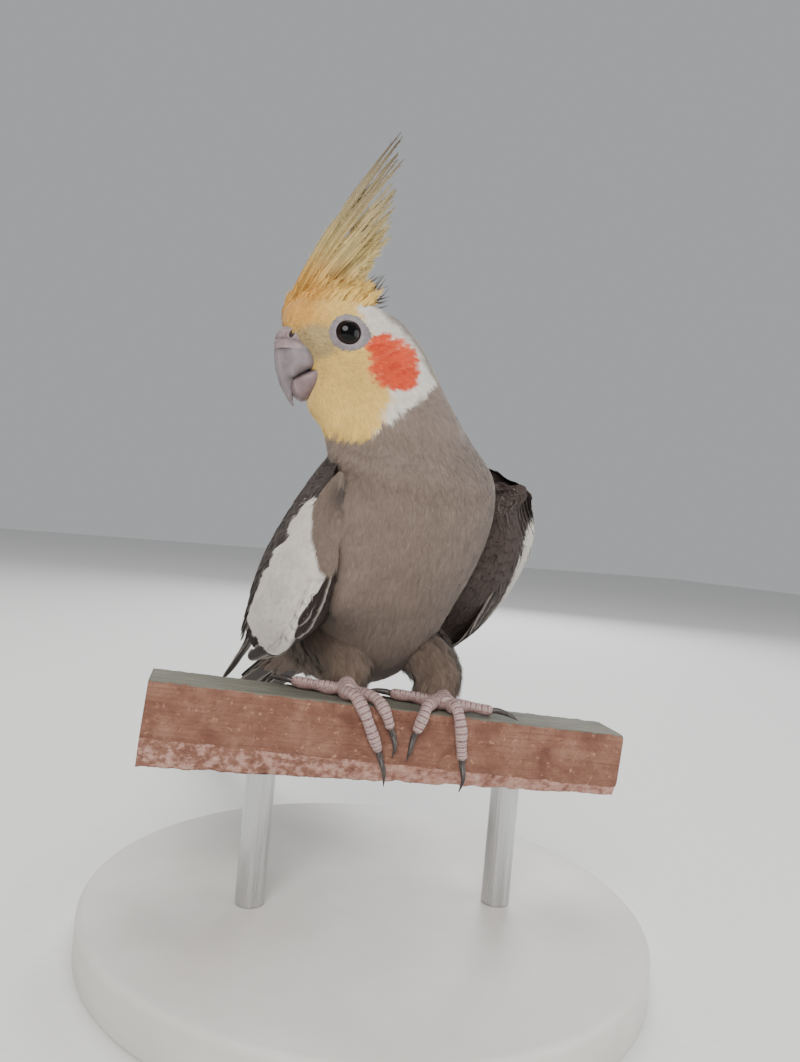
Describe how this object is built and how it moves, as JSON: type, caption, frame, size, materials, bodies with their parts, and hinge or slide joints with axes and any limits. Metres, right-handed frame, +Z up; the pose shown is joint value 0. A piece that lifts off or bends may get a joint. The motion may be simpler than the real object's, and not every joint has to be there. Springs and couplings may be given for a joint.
{
  "type": "cockatiel",
  "caption": "Life-size still model of a grey male cockatiel with its head turned and crest raised, gripping a short cut perch on a plain round display stand.",
  "frame": {"origin": "centre of the flat underside of the stand's base", "axes": "+Z up, the bird's body faces -Y and its left side is +X"},
  "size_m": [0.156, 0.2849, 0.2277],
  "materials": {
    "body_feathers": "soft matte grey-brown contour feathers",
    "face_feathers": "soft matte yellow, white and orange feathers",
    "crest_feathers": "loose yellow feathers turning grey at the tips",
    "wing_feathers": "dark grey vanes with a white patch of coverts",
    "tail_feathers": "dark grey vanes with pale edges",
    "bill_horn": "satin grey horn",
    "cere_skin": "soft grey-pink skin",
    "eye": "wet and dark",
    "foot_skin": "pink-grey scaled skin",
    "claw_horn": "dark grey horn",
    "perch_timber": "rough-sawn timber with worn red-brown paint",
    "stand_rod": "satin",
    "stand_base": "plain matte pale grey"
  },
  "bodies": {
    "root": {"bill_lower": "bill_horn", "bill_upper": "bill_horn", "cere": "cere_skin", "claw_left_inner_front": "claw_horn", "claw_left_inner_rear": "claw_horn", "claw_left_outer_front": "claw_horn", "claw_left_outer_rear": "claw_horn", "claw_right_inner_front": "claw_horn", "claw_right_inner_rear": "claw_horn", "claw_right_outer_front": "claw_horn", "claw_right_outer_rear": "claw_horn", "crest": "crest_feathers", "eye_left": "eye", "eye_right": "eye", "foot_left": "foot_skin", "foot_right": "foot_skin", "head": "face_feathers", "neck": "body_feathers", "perch": "perch_timber", "stand_base": "stand_base", "stand_rod_left": "stand_rod", "stand_rod_right": "stand_rod", "tail": "tail_feathers", "thigh_left": "body_feathers", "thigh_right": "body_feathers", "toe_left_inner_front": "foot_skin", "toe_left_inner_rear": "foot_skin", "toe_left_outer_front": "foot_skin", "toe_left_outer_rear": "foot_skin", "toe_right_inner_front": "foot_skin", "toe_right_inner_rear": "foot_skin", "toe_right_outer_front": "foot_skin", "toe_right_outer_rear": "foot_skin", "torso": "body_feathers", "wing_left": "wing_feathers", "wing_right": "wing_feathers"}
  },
  "joints": []
}
